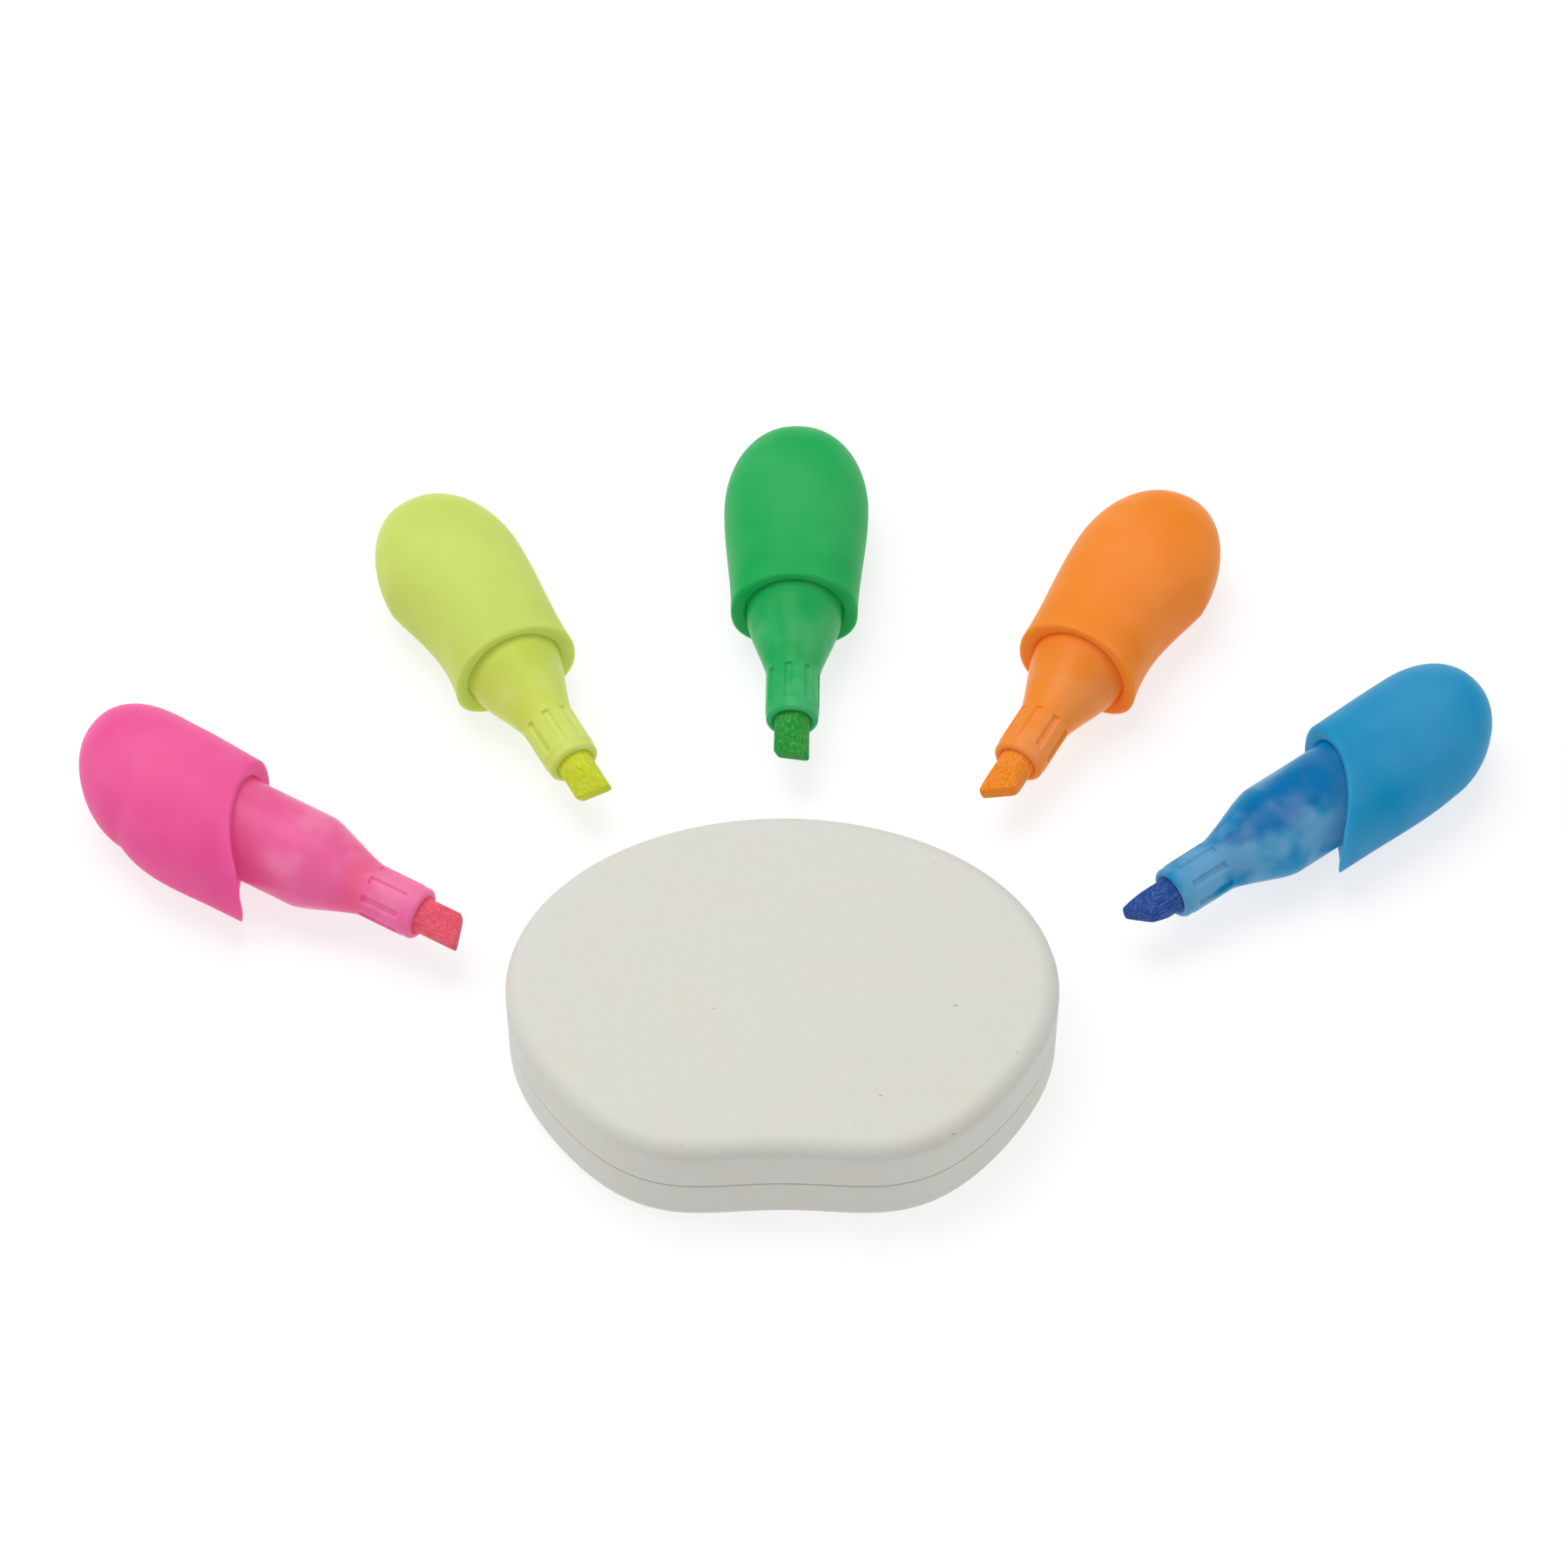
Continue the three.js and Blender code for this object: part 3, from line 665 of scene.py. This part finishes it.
def barrel_plastic(name, place, pen):
    """The same plastic in a thinner wall, with the nib's tail and the ink behind it showing through."""
    colour = pen["clear"]
    pale = towards(colour, (1, 1, 1), pen["cloud"])
    made, tree, shader = material(
        name, colour, Roughness=0.3, IOR=1.46, Specular_IOR_Level=0.12)
    where = pen_frame(tree, place)
    parts = tree.nodes.new("ShaderNodeSeparateXYZ")
    tree.links.new(where, parts.inputs["Vector"])
    x, y = parts.outputs["X"], parts.outputs["Y"]
    cloud = noise(tree, 0.16, 2, where=where)
    shade = mixed(tree, span(tree, cloud, 0.0, 0.6, 0.4, 0.66), colour, pale)
    tail = place.neck_start + 1.3
    wobble = sums(tree, "MULTIPLY", sums(tree, "SUBTRACT", noise(tree, 0.35, 2, where=where), 0.5), 3.0)
    near_tail = sums(tree, "ABSOLUTE", sums(tree, "SUBTRACT", sums(tree, "ADD", y, wobble), tail))
    shade = mixed(tree, span(tree, near_tail, pen["tail_shows"], 0.0, 0.4, 3.2), shade, pen["ink"])
    # The ink reservoir's point widens from the neck to the barrel.
    off_axis = sums(tree, "ABSOLUTE", sums(tree, "ADD", x, wobble))
    width = span(tree, y, 0.9, 3.6, place.neck_start, place.neck_start + SHOULDER_LENGTH)
    inside = span(tree, sums(tree, "DIVIDE", off_axis, width), 1.0, 0.0, 0.55, 1.35)
    behind = span(tree, y, 0.0, 1.0, place.neck_start, place.neck_start + 2.5)
    ink = sums(tree, "MULTIPLY", sums(tree, "MULTIPLY", inside, behind), pen["ink_shows"])
    shade = mixed(tree, ink, shade, pen["ink"])
    # Where the barrel goes into the shell's shade, its colour is deeper.
    shade = mixed(tree, span(tree, y, 0.0, 0.5, -6.0, 0.0), shade, tuple(c ** 1.25 for c in colour))
    glow(tree, shader, shade)
    tree.links.new(span(tree, noise(tree, 0.5, 2, where=where), 0.22, 0.4), shader.inputs["Roughness"])
    bumped(tree, shader, noise(tree, 1.2, 3, where=where), 0.00002, 0.35)
    return made


def felt(name, place, pen):
    """Pressed fibre, soaked with ink: fibres along the axis, and the tiny pits of their cut ends."""
    colour = pen["ink"]
    made, tree, shader = material(name, colour, Roughness=0.8, Specular_IOR_Level=0.25, Sheen_Weight=0.1)
    fibre = noise(tree, 5.0, 3, 0.6, where=pen_frame(tree, place, (1, 0.16, 1)))
    pits = noise(tree, 6.5, 4, 0.7, where=pen_frame(tree, place))
    grain = mixed(tree, 0.5, fibre, pits)
    pale = towards(colour, (1, 1, 1), 0.12)
    shade = ramp(tree, grain, [(0.36, tint(colour, 0.76)), (0.5, colour), (0.66, pale)])
    glow(tree, shader, shade)
    bumped(tree, shader, grain, 0.0001, 0.6)
    return made


def case_plastic():
    """Off-white plastic with plant fibre in it: faint beige clouds and a few fine dark specks."""
    base = (0.69, 0.705, 0.645)
    made, tree, shader = material("case_plastic", base, Roughness=0.55, Specular_IOR_Level=0.3)
    clouds = ramp(tree, noise(tree, 160, 3), [(0.45, base), (0.68, (0.72, 0.69, 0.62))])
    grain = ramp(tree, noise(tree, 1400, 4, 0.6), [(0.3, (0.965, 0.965, 0.965)), (0.7, (1, 1, 1))])
    shade = mixed(tree, 1.0, clouds, grain, "MULTIPLY")
    for size, share, darkness in ((560, 0.66, 0.5), (1200, 0.63, 0.35)):
        stretched = tree.nodes.new("ShaderNodeMapping")
        stretched.inputs["Rotation"].default_value = (0.4, 0.3, 0.7)
        stretched.inputs["Scale"].default_value = (0.6, 1.5, 1.0)
        tree.links.new(object_frame(tree), stretched.inputs["Vector"])
        specks = tree.nodes.new("ShaderNodeTexVoronoi")
        specks.inputs["Scale"].default_value = size
        tree.links.new(stretched.outputs["Vector"], specks.inputs["Vector"])
        near = span(tree, specks.outputs["Distance"], darkness, 0.0, 0.08, 0.17)
        rare = span(tree, noise(tree, size * 1.7, 1), 0.0, 1.0, share, share + 0.04)
        shade = mixed(tree, sums(tree, "MULTIPLY", near, rare), shade, (0.24, 0.2, 0.14))
    tree.links.new(shade, shader.inputs["Base Color"])
    tree.links.new(span(tree, noise(tree, 300, 2), 0.5, 0.62), shader.inputs["Roughness"])
    bumped(tree, shader, noise(tree, 1800, 3), 0.00003, 0.35)
    return made


def sleeve_plastic():
    made, tree, shader = material("sleeve_plastic", (0.8, 0.8, 0.77), Roughness=0.45)
    shade = ramp(tree, noise(tree, 250, 2), [(0.3, (0.77, 0.77, 0.74)), (0.7, (0.82, 0.82, 0.79))])
    tree.links.new(shade, shader.inputs["Base Color"])
    tree.links.new(span(tree, noise(tree, 600, 2), 0.38, 0.55), shader.inputs["Roughness"])
    bumped(tree, shader, noise(tree, 1500, 2), 0.00002, 0.3)
    return made


def finish_piece(piece, look, body, slot, *nodes):
    piece.data.materials.clear()
    piece.data.materials.append(look)
    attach(piece, body)
    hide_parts(*nodes)


# ---- The set ----

places = {name: Place(name, pen) for name, pen in PENS.items()}

case_look = case_plastic()
tools = socket_tools(places)
for half, up in (("bottom", -1), ("top", 1)):
    case_half = cut(case_shell("case_" + half, up), tools)
    finish_piece(case_half, case_look, "case", "case_plastic", f"case_{half}_shell")
for tool in tools:
    bpy.data.objects.remove(tool)

sleeve_look = sleeve_plastic()
for name, pen in PENS.items():
    place = places[name]
    body = name + "_highlighter"
    plastic = shell_plastic(name + "_shell_plastic", place, pen)
    clear = barrel_plastic(name + "_barrel_plastic", place, pen)
    fibre = felt(name + "_felt", place, pen)
    sleeve = cap_sleeve(name + "_sleeve", place)
    finish_piece(sleeve, sleeve_look, "case", "sleeve_plastic", name + "_cap_sleeve")
    shell = face_outwards(lofted(name + "_outer_shell", shell_rings(place, pen)))
    finish_piece(shell, plastic, body, name + "_shell_plastic", name + "_shell")
    parts = ((barrel, "barrel", clear, "_barrel_plastic"), (nib, "nib", fibre, "_felt"),
             (reservoir, "reservoir", fibre, "_felt"), (tail_plug, "tail_plug", plastic, "_shell_plastic"))
    for build, part, look, slot in parts:
        piece = build(f"{name}_{part}_piece", place, pen)
        finish_piece(piece, look, body, name + slot, f"{name}_{part}")


# ---- Floor, light and camera ----

# The floor is a grey that takes the pieces' shadows, with a glow that brings it up to a pale studio table.
FLOOR_GREY = (0.3, 0.3, 0.3)
FLOOR_GLOW = 0.74


def floor():
    side = 3.0
    mesh = bpy.data.meshes.new("floor")
    corners = [(-side, -side, 0), (side, -side, 0), (side, side, 0), (-side, side, 0)]
    mesh.from_pydata(corners, [], [(0, 1, 2, 3)])
    thing = bpy.data.objects.new("floor", mesh)
    bpy.context.scene.collection.objects.link(thing)
    thing.location.z = -0.00005
    look, tree, shader = material("floor", FLOOR_GREY, Roughness=0.9, Specular_IOR_Level=0.1)
    shader.inputs["Emission Color"].default_value = (1, 1, 1, 1)
    shader.inputs["Emission Strength"].default_value = FLOOR_GLOW
    mesh.materials.append(look)


def area_light(name, place, target, size, power):
    lamp = bpy.data.lights.new(name, "AREA")
    lamp.shape = "DISK"
    lamp.size = size
    lamp.energy = power
    thing = bpy.data.objects.new(name, lamp)
    thing.location = place
    thing.rotation_euler = (Vector(target) - Vector(place)).to_track_quat("-Z", "Y").to_euler()
    bpy.context.scene.collection.objects.link(thing)


def light():
    centre = (0, 0.036, 0)
    area_light("overhead", (-0.15, 0.25, 0.9), centre, 0.7, 5)
    area_light("left", (-0.8, 0.1, 0.55), centre, 0.5, 1.4)
    area_light("right", (0.8, 0.0, 0.6), centre, 0.5, 0.8)
    world = bpy.data.worlds.new("world")
    world.use_nodes = True
    world.node_tree.nodes["Background"].inputs["Color"].default_value = (1, 1, 1, 1)
    world.node_tree.nodes["Background"].inputs["Strength"].default_value = 0.4
    bpy.context.scene.world = world


CAMERA_ELEVATION = math.radians(54)
CAMERA_DISTANCE = 0.6314
CAMERA_TARGET = Vector((0.0002, 0.036, 0.008))


def camera():
    data = bpy.data.cameras.new("camera")
    data.lens = 110
    data.sensor_width = 36
    back = Vector((0, -math.cos(CAMERA_ELEVATION), math.sin(CAMERA_ELEVATION)))
    thing = bpy.data.objects.new("camera", data)
    thing.location = CAMERA_TARGET + back * CAMERA_DISTANCE
    thing.rotation_euler = (-back).to_track_quat("-Z", "Y").to_euler()
    bpy.context.scene.collection.objects.link(thing)
    bpy.context.scene.camera = thing


floor()
light()
camera()
bpy.context.scene.view_settings.view_transform = "Standard"
